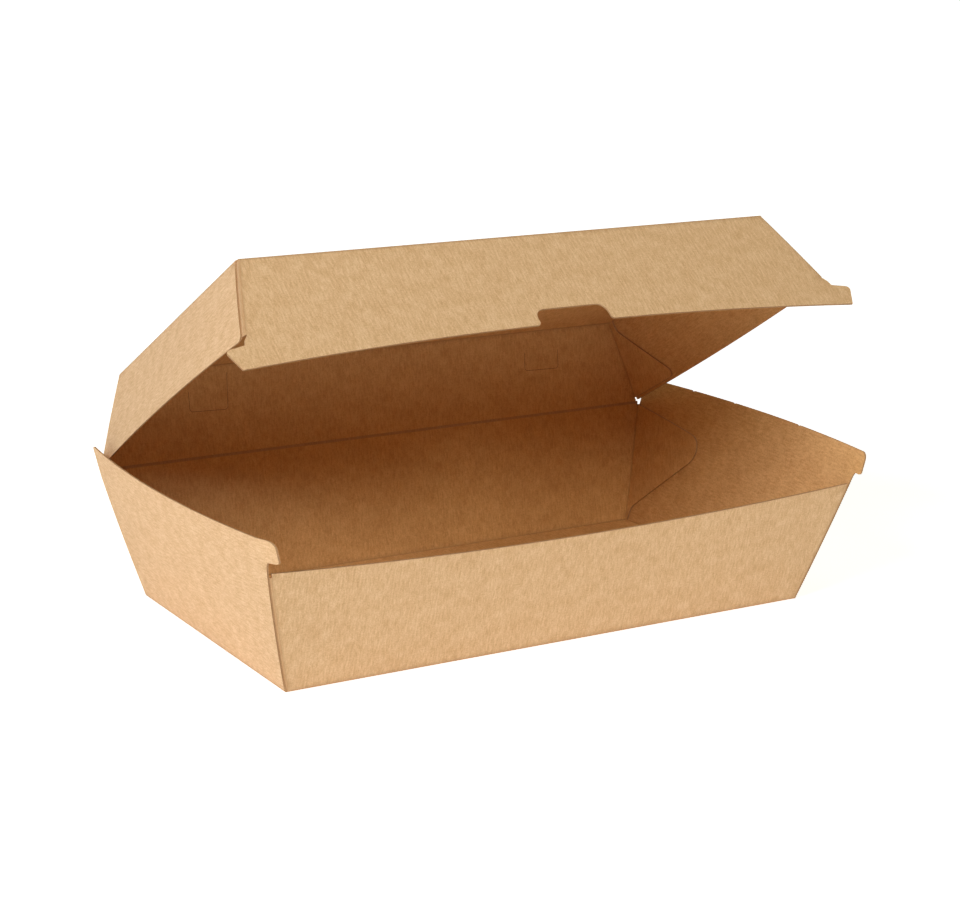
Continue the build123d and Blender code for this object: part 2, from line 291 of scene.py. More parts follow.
def addNode(tree, kind, settings={}, **inputs):
    node = tree.nodes.new(kind)
    for key, value in settings.items():
        setattr(node, key, value)
    for key, value in inputs.items():
        key = key.replace("_", " ")
        socket = node.inputs[int(key[1:])] if key[1:].isdigit() else node.inputs[key]
        if isinstance(value, bpy.types.NodeSocket):
            tree.links.new(value, socket)
        else:
            socket.default_value = value
    return node


def newMaterial(name):
    material = bpy.data.materials.new(name)
    material.use_nodes = True
    material.node_tree.nodes.clear()
    return material, material.node_tree


kraft = dict(
    face="#d7b083",         # unbleached kraft liner
    light="#e4c195",
    dark="#c89f70",
    inner="#fff2d4",        # times this on the inner liner: painted shade, a browner and darker tint standing in for the shade and warm bounce light inside the box
    fleck="#a97c50",        # bark and bran flecks in the pulp
    creased="#a27648",      # painted shade along the folds and the hinge crease, where the bent paper turns away from the light
    fibreLength=4.5,        # the paper lies in faint ridges along the flutes
    fibreWidth=0.8,
    cloud=7.0,              # patches where the pulp lies thicker
    fleckSize=0.9,
    grain=0.7,
    flute=2.3,              # from one flute to the next
    fluteDepth=0.012,       # how far the liner sinks between flutes
    roughness=0.82,
)


# kraft liner, matt and fibrous: clouds in the pulp, short fibres, a few dark flecks and faint lines over the flutes;
# painted shade darkens the folds and browns the inner liner
def kraftLiner():
    material, tree = newMaterial("kraftLiner")
    k = kraft
    blank = addNode(tree, "ShaderNodeAttribute", {"attribute_name": "blank"}).outputs["Vector"]
    crease = addNode(tree, "ShaderNodeAttribute", {"attribute_name": "crease"}).outputs["Fac"]
    long = addNode(tree, "ShaderNodeMapping", Vector=blank, Scale=(1 / (k["fibreWidth"] * mm), 1 / (k["fibreLength"] * mm), 1 / (k["fibreWidth"] * mm)))
    fibre = addNode(tree, "ShaderNodeTexNoise", Vector=long.outputs[0], Scale=1, Detail=4, Roughness=0.62).outputs["Fac"]
    grain = addNode(tree, "ShaderNodeTexNoise", Vector=blank, Scale=1 / (k["grain"] * mm), Detail=3, Roughness=0.7).outputs["Fac"]
    cloud = addNode(tree, "ShaderNodeTexNoise", Vector=blank, Scale=1 / (k["cloud"] * mm), Detail=5, Roughness=0.6).outputs["Fac"]
    speck = addNode(tree, "ShaderNodeTexNoise", Vector=blank, Scale=1 / (k["fleckSize"] * mm), Detail=2, Roughness=0.5).outputs["Fac"]
    tone = addNode(tree, "ShaderNodeMath", {"operation": "ADD"}, i0=fibre, i1=grain).outputs[0]
    tone = addNode(tree, "ShaderNodeMath", {"operation": "MULTIPLY_ADD"}, i0=cloud, i1=0.5, i2=tone).outputs[0]
    tone = addNode(tree, "ShaderNodeMapRange", Value=tone, From_Min=1.02, From_Max=1.48).outputs[0]
    ramp = addNode(tree, "ShaderNodeValToRGB", Fac=tone)
    stops = ramp.color_ramp.elements
    stops[0].color, stops[1].color = fromHex(k["dark"]), fromHex(k["light"])
    stops.new(0.5).color = fromHex(k["face"])
    flecks = addNode(tree, "ShaderNodeMapRange", Value=speck, From_Min=0.69, From_Max=0.78).outputs[0]
    flecks = addNode(tree, "ShaderNodeMath", {"operation": "MULTIPLY"}, i0=flecks, i1=0.45).outputs[0]
    colour = addNode(tree, "ShaderNodeMix", {"data_type": "RGBA"}, i0=flecks, i6=ramp.outputs["Color"], i7=fromHex(k["fleck"])).outputs[2]
    # painted shade: the inner skins, marked by a blank depth of 0.5, are multiplied by the inner tint, which stands in
    # for the shade and warm bounce light inside the box
    depth = addNode(tree, "ShaderNodeSeparateXYZ", Vector=blank).outputs["Z"]
    inside = addNode(tree, "ShaderNodeMapRange", Value=depth, From_Min=0.24, From_Max=0.26).outputs[0]
    colour = addNode(tree, "ShaderNodeMix", {"data_type": "RGBA", "blend_type": "MULTIPLY"}, i0=inside, i6=colour,
                     i7=fromHex(k["inner"])).outputs[2]
    # painted shade: darkens the colour along the folds and across the hinge crease, as far as the crease attribute says
    foldShadeAmount = addNode(tree, "ShaderNodeMath", {"operation": "MULTIPLY"}, i0=crease, i1=0.55).outputs[0]
    colour = addNode(tree, "ShaderNodeMix", {"data_type": "RGBA"}, i0=foldShadeAmount, i6=colour, i7=fromHex(k["creased"])).outputs[2]
    lines = addNode(tree, "ShaderNodeSeparateXYZ", Vector=blank).outputs["X"]
    lines = addNode(tree, "ShaderNodeMath", {"operation": "MULTIPLY"}, i0=lines, i1=2 * pi / (k["flute"] * mm)).outputs[0]
    lines = addNode(tree, "ShaderNodeMath", {"operation": "SINE"}, i0=lines).outputs[0]
    height = addNode(tree, "ShaderNodeMath", {"operation": "MULTIPLY_ADD"}, i0=lines, i1=k["fluteDepth"] * mm, i2=0).outputs[0]
    rough = addNode(tree, "ShaderNodeMath", {"operation": "MULTIPLY_ADD"}, i0=grain, i1=0.06 * mm, i2=height).outputs[0]
    rough = addNode(tree, "ShaderNodeMath", {"operation": "MULTIPLY_ADD"}, i0=fibre, i1=0.05 * mm, i2=rough).outputs[0]
    bump = addNode(tree, "ShaderNodeBump", Height=rough, Strength=1.0, Distance=1.0).outputs[0]
    shader = addNode(tree, "ShaderNodeBsdfPrincipled", Base_Color=colour, Roughness=k["roughness"], Normal=bump)
    shader.inputs["Specular IOR Level"].default_value = 0.35
    addNode(tree, "ShaderNodeOutputMaterial", Surface=shader.outputs[0])
    return material


# the raw cut through the board and the recycled brown paper of its flutes: darker and rougher than the liner
def cutPaper(name, face, dark):
    material, tree = newMaterial(name)
    where = addNode(tree, "ShaderNodeTexCoord").outputs["Object"]
    grain = addNode(tree, "ShaderNodeTexNoise", Vector=where, Scale=1 / (0.4 * mm), Detail=3, Roughness=0.7).outputs["Fac"]
    ramp = addNode(tree, "ShaderNodeValToRGB", Fac=grain)
    ramp.color_ramp.elements[0].position, ramp.color_ramp.elements[1].position = 0.3, 0.7
    ramp.color_ramp.elements[0].color, ramp.color_ramp.elements[1].color = fromHex(dark), fromHex(face)
    bump = addNode(tree, "ShaderNodeBump", Height=grain, Strength=0.6, Distance=0.1 * mm).outputs[0]
    shader = addNode(tree, "ShaderNodeBsdfPrincipled", Base_Color=ramp.outputs["Color"], Roughness=0.92, Normal=bump)
    shader.inputs["Specular IOR Level"].default_value = 0.25
    addNode(tree, "ShaderNodeOutputMaterial", Surface=shader.outputs[0])
    return material


linerPaper = kraftLiner()
rawEdge = cutPaper("rawBoardEdge", "#cfa67c", "#a9825a")
flutePaper = cutPaper("flutedPaper", "#c49a6f", "#a17b53")
scoredPaper = cutPaper("scoredPaper", "#a98055", "#92693f")
print("materials made")

# ---- the tray ----
tray = dict(
    length=261.2, width=133.6,                  # of the base, outside its folds
    endLean=14.7, frontLean=13.7, backLean=15.5,
    hinge=55.7,                                 # height of the hinge crease
    hingeSetback=0.45,                          # each back wall stops this far from it
    front=56.4, frontDip=5.0,
    endTop=75.0, endStep=0.8, endBow=7.0, endSpan=164.0,
    hookTop=71.5, earTop=67.8,
    edgeGap=0.6,                                # from the end walls' cut edges to the front and back faces
    hookReach=86.4, hookRoot=81.8, hookBottom=61.6, hookNotch=59.6, hookRadius=3.2, hookTipRadius=1.4,
    earReach=81.0, earRadius=2.0,
    hookBend=2.6, hookBendFrom=79.5,            # the left hook's tip is bent inwards
    nicks=((48, 0.5), (18, 0.4), (-31, 0.35)),  # where the die's holding points tore
    flapLow=1.0, flapTopFront=54.5, flapTopBack=54.9,
    flapNose=22.5, flapNoseFront=33.0, flapNoseBack=47.3, flapNoseRadius=7.5,
    flapFoot=65.0, flapFootHeight=7.2, flapFootRadius=5.0,
    relief=1.7,                                 # radius of the die-cut relief at each end of the hinge
)


def backBevel():               # both back walls are bevelled alike, so that they meet edge to edge when shut
    hingeY = tray["width"] / 2 + tray["hinge"] * tan(radians(tray["backLean"]))
    lidLean = atan((hingeY - lid["back"]) / lid["height"])
    return hingeY, lidLean, (radians(tray["backLean"]) + lidLean) / 2


def trayEndAt(y, z, inset):    # distance from the middle to an end wall, this far into its board
    t = tray
    lean = radians(t["endLean"])
    stand = (t["endStep"] + bow(y, t["endBow"], t["endSpan"])) * z / t["endTop"]
    return t["length"] / 2 + z * tan(lean) + stand - inset / cos(lean)


def reliefArc(side, centre, meets, sideEdge, radius, setback):
    # from the side edge of a back wall round to its hinge edge; meets is the hinge, measured up the wall
    first = acos(min(1, (centre - sideEdge) / radius))
    last = asin(setback / radius)
    return [(side * (centre - radius * cos(a)), meets - radius * sin(a), 0) for a in np.linspace(first, last, 5)]


def trayPanels(sheet):
    t, fold, thick = tray, board["fold"], board["thick"]
    halfLength, halfWidth = t["length"] / 2, t["width"] / 2
    endLean = radians(t["endLean"])
    leans = {-1: radians(t["frontLean"]), 1: radians(t["backLean"])}
    hingeY, _, bevel = backBevel()
    wallTop = t["hinge"] / cos(leans[1])
    flapInset = thick + board["glue"]

    def cornerY(sign, z):
        return sign * (halfWidth + z * tan(leans[sign]))

    def cornerX(sign, z):
        return trayEndAt(cornerY(sign, z), z, flapInset)

    def wallPlace(sign):
        def place(along, up, depth):
            if sign > 0:
                up -= depth * tan(bevel) * min(1, max(0, 1 - (wallTop - up) / 4))
            y = halfWidth + up * sin(leans[sign]) - depth * cos(leans[sign])
            return Vector((along, sign * y, up * cos(leans[sign]) + depth * sin(leans[sign])))
        return place

    def endPlace(side, inset):
        def place(y, z, depth):
            x = trayEndAt(y, z, inset + depth)
            if side < 0 and y < -t["hookBendFrom"]:
                x -= t["hookBend"] * ((-y - t["hookBendFrom"]) / (t["hookReach"] - t["hookBendFrom"])) ** 1.6
            return Vector((side * x, y, z))
        return place

    # base
    low = fold * cos(endLean)
    frontX = {sign: min(cornerX(sign, 0), halfLength - fold) - board["glue"] for sign in (-1, 1)}
    endY = {sign: cornerY(sign, low) - sign * t["edgeGap"] for sign in (-1, 1)}
    xs = {sign: spread(-frontX[sign], frontX[sign]) for sign in (-1, 1)}
    ys = spread(endY[-1], endY[1])
    sheet.panel(lambda x, y, depth: Vector((x, y, depth)), lambda x, y: (x, y), [
        ("frontFold", [(x, fold - halfWidth) for x in xs[-1]]),
        ("rightFold", [(halfLength - fold, y) for y in ys]),
        ("backFold", [(x, halfWidth - fold) for x in xs[1][::-1]]),
        ("leftFold", [(fold - halfLength, y) for y in ys[::-1]]),
    ])

    # front and back walls, and the flaps folded from them
    for sign, name, flapTop, nose in ((-1, "front", t["flapTopFront"], t["flapNoseFront"]),
                                      (1, "back", t["flapTopBack"], t["flapNoseBack"])):
        rise = cos(leans[sign])
        zs = spread(t["flapLow"], flapTop)
        sides = {s: [(s * (cornerX(sign, z) - fold), z / rise) for z in zs] for s in (-1, 1)}
        if sign < 0:
            topX = cornerX(sign, t["front"]) - fold
            span = 2 * trayEndAt(cornerY(sign, t["front"]), t["front"], thick / 2)
            top = [("cut", [(x, (t["front"] - bow(x, t["frontDip"], span)) / rise, 0) for x in spread(topX, -topX)])]
        else:
            centre, edge = trayEndAt(hingeY, t["hinge"], thick / 2), cornerX(sign, t["hinge"]) - fold
            arcs = {s: reliefArc(s, centre, wallTop, edge, t["relief"], t["hingeSetback"]) for s in (-1, 1)}
            rim = wallTop - t["hingeSetback"]
            ends = arcs[1][-1][0]
            top = [("cut", arcs[1][:-1]), ("hinge", [(x, rim) for x in spread(ends, -ends)]),
                   ("cut", arcs[-1][:-1][::-1])]
        sheet.panel(wallPlace(sign), lambda x, up: (x, sign * (halfWidth + up)), [
            (name + "Fold", [(x, fold) for x in xs[sign]]), (name + "Flap1", sides[1]), *top,
            (name + "Flap-1", sides[-1][::-1])])
        for side in (-1, 1):
            def flapFlat(y, z):
                return side * (cornerX(sign, z) + abs(cornerY(sign, z) - y)), sign * (halfWidth + z / rise)
            sheet.panel(endPlace(side, flapInset), flapFlat, [
                (name + "Flap%d" % side, [(cornerY(sign, z) - sign * fold, z) for z in zs]),
                ("cut", [(sign * t["flapNose"], nose, t["flapNoseRadius"]),
                         (sign * t["flapFoot"], t["flapFootHeight"], t["flapFootRadius"]),
                         (sign * t["flapFoot"], t["flapLow"], 0)])])

    # end walls
    earRoot = (t["earReach"] + t["edgeGap"] - halfWidth) / tan(leans[1])
    topSlope = (t["earTop"] - t["hookTop"]) / (t["earReach"] + t["hookReach"])
    nicks = []
    for y, deep in t["nicks"]:
        z = t["hookTop"] + topSlope * (y + t["hookReach"])
        nicks += [(y + 0.8, z, 0), (y + 0.3, z - deep, 0), (y - 0.3, z - deep, 0), (y - 0.8, z, 0)]
    for side, name in ((-1, "left"), (1, "right")):
        sheet.panel(endPlace(side, 0), lambda y, z: (side * (halfLength + z / cos(endLean)), y), [
            (name + "Fold", [(y, low) for y in ys]),
            ("cut", [(t["earReach"], earRoot, 0), (t["earReach"], t["earTop"], t["earRadius"]), *nicks,
                     (-t["hookReach"], t["hookTop"], t["hookRadius"]),
                     (-t["hookReach"], t["hookBottom"], t["hookTipRadius"]),
                     (-t["hookRoot"], t["hookBottom"], 0),
                     (cornerY(-1, t["hookNotch"]) + t["edgeGap"], t["hookNotch"], 0)])])


# ---- the lid, drawn shut and then opened ----
lid = dict(
    height=39.0,                                # from the hinge to the top
    length=263.6, front=67.4, back=68.3,        # the top panel, outside its folds
    frontLean=20.5, endLean=18.8,
    endBow=4.0, endSpan=164.0,
    rim=1.0, slot=2.0, rimRadius=2.0, edgeGap=0.6,
    cornerReach=150.6, cornerDrop=13.2, middleDrop=7.1,
    earReach=154.9, earTipDrop=4.0, earRootDrop=2.2, earRadius=1.8,
    notchMiddle=6.4, notchWidth=35.4, notchRise=0.6, notchRadius=4.8, notchLip=1.5,
    flapHigh=38.0, flapLowFront=2.6, flapLowBack=2.1,
    flapNose=46.0, flapNoseRadius=2.7,
    flapShoulder=66.3, flapShoulderHeight=33.2, flapShoulderRadius=5.0, flapTop=64.8,
    open=32.5,                                  # how far it stands open at rest
)


def lidEndAt(y, height, inset):
    d = lid["height"] - height
    lean = radians(lid["endLean"])
    return lid["length"] / 2 + d * tan(lean) + bow(y, lid["endBow"], lid["endSpan"]) * d / lid["height"] - inset / cos(lean)


def lidPanels(sheet):
    l, t, fold, thick = lid, tray, board["fold"], board["thick"]
    hingeY, backLean, bevel = backBevel()
    halfLength, endLean = l["length"] / 2, radians(l["endLean"])
    leans = {-1: radians(l["frontLean"]), 1: backLean}
    heads = {-1: l["front"], 1: l["back"]}
    flapInset = thick + board["glue"]
    wallLength = l["height"] / cos(backLean)
    hingeOnSheet = t["width"] / 2 + t["hinge"] / cos(radians(t["backLean"]))
    topOnSheet = hingeOnSheet + wallLength + l["back"]      # the middle of the top panel on the flat sheet

    def cornerY(sign, h):
        return sign * (heads[sign] + (l["height"] - h) * tan(leans[sign]))

    def cornerX(sign, h):
        return lidEndAt(cornerY(sign, h), h, flapInset)

    def wallPlace(sign):
        def place(along, down, depth):
            if sign > 0:
                down -= depth * tan(bevel) * min(1, max(0, 1 - (wallLength - down) / 4))
            y = heads[sign] + down * sin(leans[sign]) - depth * cos(leans[sign])
            z = t["hinge"] + l["height"] - down * cos(leans[sign]) - depth * sin(leans[sign])
            return Vector((along, sign * y, z))
        return place

    def endPlace(side, inset):
        return lambda y, h, depth: Vector((side * lidEndAt(y, h, inset + depth), y, t["hinge"] + h))

    high = l["height"] - fold * cos(endLean)
    endY = {-1: cornerY(-1, high) + l["slot"], 1: cornerY(1, high) - l["edgeGap"]}
    headX = {sign: min(cornerX(sign, l["height"]), halfLength - fold) - board["glue"] for sign in (-1, 1)}
    xs = {sign: spread(-headX[sign], headX[sign]) for sign in (-1, 1)}
    ys = spread(endY[-1], endY[1])
    sheet.panel(lambda x, y, depth: Vector((x, y, t["hinge"] + l["height"] - depth)),
                lambda x, y: (x, topOnSheet - y), [
        ("frontFold", [(x, fold - l["front"]) for x in xs[-1]]),
        ("rightFold", [(halfLength - fold, y) for y in ys]),
        ("backFold", [(x, l["back"] - fold) for x in xs[1][::-1]]),
        ("leftFold", [(fold - halfLength, y) for y in ys[::-1]])])

    for sign, name, flapLow in ((-1, "front", l["flapLowFront"]), (1, "back", l["flapLowBack"])):
        rise = cos(leans[sign])
        hs = spread(l["flapHigh"], flapLow)
        sides = {s: [(s * (cornerX(sign, h) - fold), (l["height"] - h) / rise) for h in hs] for s in (-1, 1)}
        if sign < 0:
            foot = l["height"] / rise           # the hinge's height, measured down the panel
            core = lidEndAt(cornerY(-1, 0), 0, thick / 2)

            def drop(x):
                return foot + (l["cornerDrop"] - bow(x, l["cornerDrop"] - l["middleDrop"], 2 * l["cornerReach"])) / rise

            right, left = (l["notchMiddle"] + s * l["notchWidth"] / 2 for s in (1, -1))
            clear = 4
            bottom = [(x, drop(x), 0) for x in spread(l["cornerReach"], right + clear)]
            bottom += [(right, drop(right), l["notchLip"]), (right, foot - l["notchRise"] / rise, l["notchRadius"]),
                       (left, foot - l["notchRise"] / rise, l["notchRadius"]), (left, drop(left), l["notchLip"])]
            bottom += [(x, drop(x), 0) for x in spread(left - clear, -l["cornerReach"])]
            ears = {s: [(s * core, foot, 0), (s * (core + thick), foot + l["earRootDrop"] / rise, 0),
                        (s * l["earReach"], foot + l["earTipDrop"] / rise, l["earRadius"])] for s in (-1, 1)}
            rimPath = [("cut", ears[1] + bottom + ears[-1][::-1])]
        else:
            centre, edge = lidEndAt(hingeY, 0, thick / 2), cornerX(sign, 0) - fold
            arcs = {s: reliefArc(s, centre, wallLength, edge, t["relief"], t["hingeSetback"]) for s in (-1, 1)}
            ends, rim = arcs[1][-1][0], wallLength - t["hingeSetback"]
            rimPath = [("cut", arcs[1][:-1]), ("hinge", [(x, rim) for x in spread(ends, -ends)]),
                       ("cut", arcs[-1][:-1][::-1])]
        start = topOnSheet - sign * heads[sign]
        sheet.panel(wallPlace(sign), lambda x, down: (x, start - sign * down), [
            (name + "Fold", [(x, fold) for x in xs[sign]]), (name + "Flap1", sides[1]), *rimPath,
            (name + "Flap-1", sides[-1][::-1])])
        for side in (-1, 1):
            def flapFlat(y, h):
                return (side * (cornerX(sign, h) + abs(cornerY(sign, h) - y)),
                        start - sign * (l["height"] - h) / rise)
            sheet.panel(endPlace(side, flapInset), flapFlat, [
                (name + "Flap%d" % side, [(cornerY(sign, h) - sign * fold, h) for h in hs]),
                ("cut", [(sign * l["flapNose"], flapLow, l["flapNoseRadius"]),
                         (sign * l["flapShoulder"], l["flapShoulderHeight"], l["flapShoulderRadius"]),
                         (sign * l["flapTop"], l["flapHigh"], 0)])])

    for side, name in ((-1, "left"), (1, "right")):
        sheet.panel(endPlace(side, 0), lambda y, h: (side * (halfLength + (l["height"] - h) / cos(endLean)), topOnSheet - y), [
            (name + "Fold", [(y, high) for y in ys]),
            ("cut", [(cornerY(1, l["rim"]) - l["edgeGap"], l["rim"], 0),
                     (cornerY(-1, l["rim"]) + l["slot"], l["rim"], l["rimRadius"])])])


# ---- the fluted sheet, seen in the cut edges ----
flutes = dict(
    pitch=2.3,
    height=0.19,            # half the wave's height, liner to liner
    depth=0.16,             # how deep the strip goes into the board
    paper=0.1,
    stepsPerFlute=8,
    inset=0.06,             # behind the cut
)


def fluteTree(material):
    tree = bpy.data.node_groups.new("fluting", "GeometryNodeTree")
    face = tree.interface
    face.new_socket("Geometry", in_out="INPUT", socket_type="NodeSocketGeometry")
    for name in ("Pitch", "Height", "Depth", "Step"):
        face.new_socket(name, in_out="INPUT", socket_type="NodeSocketFloat")
    face.new_socket("Geometry", in_out="OUTPUT", socket_type="NodeSocketGeometry")
    given = addNode(tree, "NodeGroupInput").outputs
    line = addNode(tree, "GeometryNodeMeshToCurve", Mesh=given["Geometry"]).outputs[0]
    line = addNode(tree, "GeometryNodeResampleCurve", {"mode": "LENGTH"}, Curve=line, Length=given["Step"]).outputs[0]
    across = addNode(tree, "GeometryNodeInputNamedAttribute", {"data_type": "FLOAT_VECTOR"}, Name="across").outputs[0]
    inward = addNode(tree, "GeometryNodeInputNamedAttribute", {"data_type": "FLOAT_VECTOR"}, Name="inward").outputs[0]
    along = addNode(tree, "GeometryNodeInputNamedAttribute", {"data_type": "FLOAT"}, Name="along").outputs[0]
    turns = addNode(tree, "ShaderNodeMath", {"operation": "DIVIDE"}, i0=along, i1=given["Pitch"]).outputs[0]
    angle = addNode(tree, "ShaderNodeMath", {"operation": "MULTIPLY"}, i0=turns, i1=2 * pi).outputs[0]
    wave = addNode(tree, "ShaderNodeMath", {"operation": "SINE"}, i0=angle).outputs[0]
    wave = addNode(tree, "ShaderNodeMath", {"operation": "MULTIPLY"}, i0=wave, i1=given["Height"]).outputs[0]
    offset = addNode(tree, "ShaderNodeVectorMath", {"operation": "SCALE"}, Vector=across, Scale=wave).outputs[0]
    line = addNode(tree, "GeometryNodeSetPosition", Geometry=line, Offset=offset).outputs[0]
    line = addNode(tree, "GeometryNodeCurveToMesh", Curve=line).outputs[0]
    strip = addNode(tree, "GeometryNodeExtrudeMesh", {"mode": "EDGES"}, Mesh=line, Offset=inward, Offset_Scale=given["Depth"]).outputs[0]
    whole = addNode(tree, "GeometryNodeRealizeInstances", Geometry=strip).outputs[0]
    done = addNode(tree, "GeometryNodeSetMaterial", Geometry=whole, Material=material).outputs[0]
    addNode(tree, "NodeGroupOutput", Geometry=done)
    return tree


def addFlutes(name, edges, tree, turn):
    mesh = bpy.data.meshes.new(name)
    verts, lines, across, inward, along = [], [], [], [], []
    for edge in edges:
        first = len(verts)
        for place, through, into, u in edge:
            verts.append(place + into * flutes["inset"])
            across += list(through)
            inward += list(into)
            along.append(u)
        lines += [(i, i + 1) for i in range(first, len(verts) - 1)]
    mesh.from_pydata(verts, lines, [])
    mesh.attributes.new("across", "FLOAT_VECTOR", "POINT").data.foreach_set("vector", across)
    mesh.attributes.new("inward", "FLOAT_VECTOR", "POINT").data.foreach_set("vector", inward)
    mesh.attributes.new("along", "FLOAT", "POINT").data.foreach_set("value", along)
    guide = bpy.data.objects.new(name + "Guide", mesh)
    bpy.context.scene.collection.objects.link(guide)
    modifier = guide.modifiers.new("fluting", "NODES")
    modifier.node_group = tree
    sizes = {"Pitch": flutes["pitch"], "Height": flutes["height"], "Depth": flutes["depth"],
             "Step": flutes["pitch"] / flutes["stepsPerFlute"]}
    for socket in tree.interface.items_tree:
        if socket.in_out == "INPUT" and socket.name in sizes:
            modifier[socket.identifier] = sizes[socket.name]
    solid = guide.modifiers.new("paper", "SOLIDIFY")
    solid.thickness, solid.offset = flutes["paper"], 0
    made = bpy.data.meshes.new_from_object(guide.evaluated_get(bpy.context.evaluated_depsgraph_get()))
    bpy.data.objects.remove(guide)
    made.name = name
    print(name, len(made.polygons), "faces")
    return addObject(name, made, turn, [] if made.materials else [flutePaper])


def closeUp(angle):            # turns the shut lid about the hinge
    hingeY = backBevel()[0]
    pivot = Matrix.Translation((0, hingeY, tray["hinge"]))
    return pivot @ Matrix.Rotation(radians(angle), 4, (-1, 0, 0)) @ pivot.inverted()


scale = Matrix.Scale(mm, 4)
opened = scale @ closeUp(lid["open"])
fluting = fluteTree(flutePaper)

traySheet = Sheet()
trayPanels(traySheet)
traySheet.foldUp()
trayEdges = traySheet.edges
trayBoard = traySheet.finish("trayBoard", scale, [linerPaper, rawEdge])
trayFlutes = addFlutes("trayFlutes", trayEdges, fluting, scale)
print("tray made")

lidSheet = Sheet()
lidPanels(lidSheet)
lidSheet.foldUp()
lidEdges = lidSheet.edges
lidBoard = lidSheet.finish("lidBoard", opened, [linerPaper, rawEdge])
lidFlutes = addFlutes("lidFlutes", lidEdges, fluting, opened)
print("lid made")

# ---- the hinge crease: pressed board between the two back walls ----
crease = dict(
    sunk=0.1,               # the pressed faces lie this far below the walls'
    steps=4,
    end=144.1,              # half its length
)


def hingeStrip():
    hingeY, lidLean, bevel = backBevel()
    t = tray
    trayLean = radians(t["backLean"])
    turn = radians(lid["open"])
    leans = [trayLean, pi - lidLean + 0 * turn]
    sheet = Sheet()
    reach, thick, sunk = t["hingeSetback"], board["thick"], crease["sunk"]

    def corner(upper, depth):      # a corner of either back wall's edge, measured from the hinge
        lean = lidLean if upper else trayLean
        sign = 1 if upper else -1
        along = reach + depth * tan(bevel)
        y, z = -sign * along * sin(lean) if upper else -along * sin(lean), sign * along * cos(lean)
        point = Vector((0, y - depth * cos(lean), z - (depth if upper else -depth) * sin(lean)))
        if upper:
            point = Matrix.Rotation(turn, 3, (-1, 0, 0)) @ point
        return point + Vector((0, hingeY, t["hinge"]))

    lines = []
    for depth in (sunk, thick - sunk):
        lines.append([corner(False, depth).lerp(corner(True, depth), k / crease["steps"])
                      for k in range(crease["steps"] + 1)])
    ring = lines[0] + lines[1][::-1]
    rings = []
    for x in spread(-crease["end"], crease["end"]):
        # crease 1.0: the whole hinge strip takes the painted fold shade
        rings.append([sheet.point(p + Vector((x, 0, 0)), (x, 125 + k * 0.2), 1.0) for k, p in enumerate(ring)])
    for near, far in zip(rings, rings[1:]):
        for k in range(len(ring)):
            sheet.face([near[k], near[k - 1], far[k - 1], far[k]])
    sheet.face(rings[0])
    sheet.face(rings[-1][::-1])
    return sheet.finish("hingeCrease", scale, [linerPaper]), ring[0] * mm, ring[crease["steps"]] * mm


hingeCrease, creaseLow, creaseHigh = hingeStrip()

# ---- cut marks pressed through the inner liner of the lid's back wall ----
marks = dict(
    width=0.26, proud=0.02,
    left=((-99.8, 30), (-99.8, 21), (-81, 20.4), (-80, 37)),
    right=((79.7, 30.8), (79.2, 22), (98.4, 21.6), (98.9, 30.6)),
    radius=1.5,
)


def cutMarks():
    _, lean, _ = backBevel()
    wallLength = lid["height"] / cos(lean)

    def place(x, up, depth):
        down = wallLength - up
        y = lid["back"] + down * sin(lean) - depth * cos(lean)
        z = tray["hinge"] + lid["height"] - down * cos(lean) - depth * sin(lean)
        return Vector((x, y, z))

    sheet = Sheet()
    for corners in (marks["left"], marks["right"]):
        path = roundedPath([(x, up, marks["radius"] * (0 < i < 3)) for i, (x, up) in enumerate(corners)])
        path = divided(path)
        rings = []
        for i, p in enumerate(path):
            run = (path[min(i + 1, len(path) - 1)] - path[max(i - 1, 0)]).normalized()
            side = Vector((-run.y, run.x)) * marks["width"] / 2
            spots = [(p - side, 0), (p, marks["proud"]), (p + side, 0), (p, -marks["proud"])]
            rings.append([sheet.point(place(q.x, q.y, board["thick"] + lift), (q.x, q.y), 1) for q, lift in spots])
        for near, far in zip(rings, rings[1:]):
            for k in range(4):
                sheet.face([near[k], near[k - 1], far[k - 1], far[k]])
        sheet.face(rings[0])
        sheet.face(rings[-1][::-1])
    return sheet.finish("lidCutMarks", opened, [scoredPaper])


lidCutMarks = cutMarks()
print("crease and cut marks made")

# ---- which body each piece rides on ----
for piece, body, slotName in ((trayBoard, "tray_body", "tray_board"), (trayFlutes, "tray_body", "tray_board"),
                              (lidBoard, "lid_body", "lid_board"), (lidFlutes, "lid_body", "lid_board"),
                              (lidCutMarks, "lid_body", "lid_board")):
    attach(piece, body)
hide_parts("tray")
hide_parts("lid")
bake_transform(hingeCrease)

# ---- floor, light and camera ----
studio = dict(
    floor="#f4f4f4",
    floorGlow=0.52,         # a lit table: it lights the walls from below
    floorSeen=0.72,         # the same as it is seen, so that the shadow stays on it
    floorFar=1.0,           # and beyond the object
    floorGap=0.0001,        # keeps the floor from lying in the same plane as the base
    world=0.04,
    key=dict(place=(-1.45, -0.5, 1.1), size=0.9, power=20, colour=(0.97, 1.0, 1.12)),
    front=dict(place=(-0.35, -1.5, 1.36), size=0.6, power=9.8, colour=(1.0, 0.96, 0.82)),
    top=dict(place=(0.1, 0.15, 2.2), size=2.2, power=10.5, colour=(1.0, 0.94, 0.6)),
)
view = dict(place=(-569.1, -897.8, 363.8), turn=(74.213, -1.891, -31.852), lens=93.58, sensor=36.0)


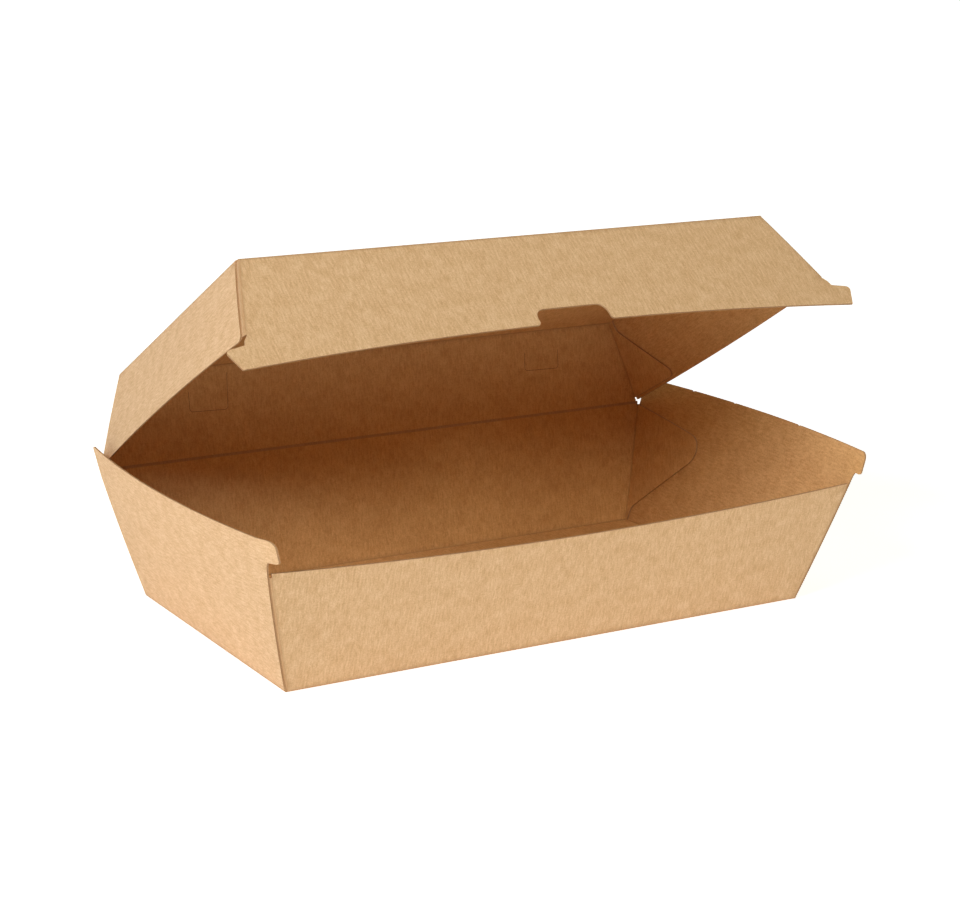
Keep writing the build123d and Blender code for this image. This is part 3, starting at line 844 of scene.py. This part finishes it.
def addStudio():
    scene = bpy.context.scene
    mesh = bpy.data.meshes.new("floor")
    under = -studio["floorGap"]
    mesh.from_pydata([(-30, -30, under), (30, -30, under), (30, 30, under), (-30, 30, under)], [], [(0, 1, 2, 3)])
    material, tree = newMaterial("paleStudioFloor")
    rays = addNode(tree, "ShaderNodeLightPath").outputs
    seen = addNode(tree, "ShaderNodeMath", {"operation": "MAXIMUM"}, i0=rays["Is Camera Ray"], i1=rays["Is Glossy Ray"]).outputs[0]
    where = addNode(tree, "ShaderNodeTexCoord").outputs["Object"]
    away = addNode(tree, "ShaderNodeVectorMath", {"operation": "LENGTH"}, Vector=where).outputs["Value"]
    shown = addNode(tree, "ShaderNodeMapRange", Value=away, From_Min=0.4, From_Max=1.5, To_Min=studio["floorSeen"],
                    To_Max=studio["floorFar"]).outputs[0]
    seen = addNode(tree, "ShaderNodeMapRange", Value=seen, To_Min=studio["floorGlow"], To_Max=shown).outputs[0]
    paint = addNode(tree, "ShaderNodeBsdfDiffuse", Color=fromHex(studio["floor"])).outputs[0]
    glow = addNode(tree, "ShaderNodeEmission", Strength=seen).outputs[0]
    both = addNode(tree, "ShaderNodeAddShader", i0=paint, i1=glow).outputs[0]
    addNode(tree, "ShaderNodeOutputMaterial", Surface=both)
    mesh.materials.append(material)
    floor = bpy.data.objects.new("floor", mesh)
    scene.collection.objects.link(floor)

    world = bpy.data.worlds.new("softStudio")
    scene.world = world
    world.use_nodes = True
    tree = world.node_tree
    tree.nodes.clear()
    rays = addNode(tree, "ShaderNodeLightPath").outputs
    seen = addNode(tree, "ShaderNodeMath", {"operation": "MAXIMUM"}, i0=rays["Is Camera Ray"], i1=rays["Is Glossy Ray"]).outputs[0]
    seen = addNode(tree, "ShaderNodeMath", {"operation": "MAXIMUM"}, i0=seen, i1=rays["Is Transmission Ray"]).outputs[0]
    white = addNode(tree, "ShaderNodeBackground", Color=(1, 1, 1, 1), Strength=1.0).outputs[0]
    soft = addNode(tree, "ShaderNodeBackground", Color=(1, 1, 1, 1), Strength=studio["world"]).outputs[0]
    mixed = addNode(tree, "ShaderNodeMixShader", i0=seen, i1=soft, i2=white).outputs[0]
    addNode(tree, "ShaderNodeOutputWorld", Surface=mixed)

    aim = Vector((0, 0, 0.06))
    for name in ("key", "front", "top"):
        lamp = studio[name]
        light = bpy.data.lights.new(name + "Light", "AREA")
        light.shape, light.size, light.energy, light.color = "DISK", lamp["size"], lamp["power"], lamp["colour"]
        holder = bpy.data.objects.new(name + "Light", light)
        holder.location = lamp["place"]
        holder.rotation_euler = (aim - Vector(lamp["place"])).to_track_quat("-Z", "Y").to_euler()
        scene.collection.objects.link(holder)

    camera = bpy.data.objects.new("camera", bpy.data.cameras.new("camera"))
    camera.location = Vector(view["place"]) * mm
    camera.rotation_euler = [radians(a) for a in view["turn"]]
    camera.data.lens, camera.data.sensor_width = view["lens"], view["sensor"]
    camera.data.clip_end = 100
    scene.collection.objects.link(camera)
    scene.camera = camera
    scene.view_settings.view_transform = "Standard"


addStudio()
print("studio made")
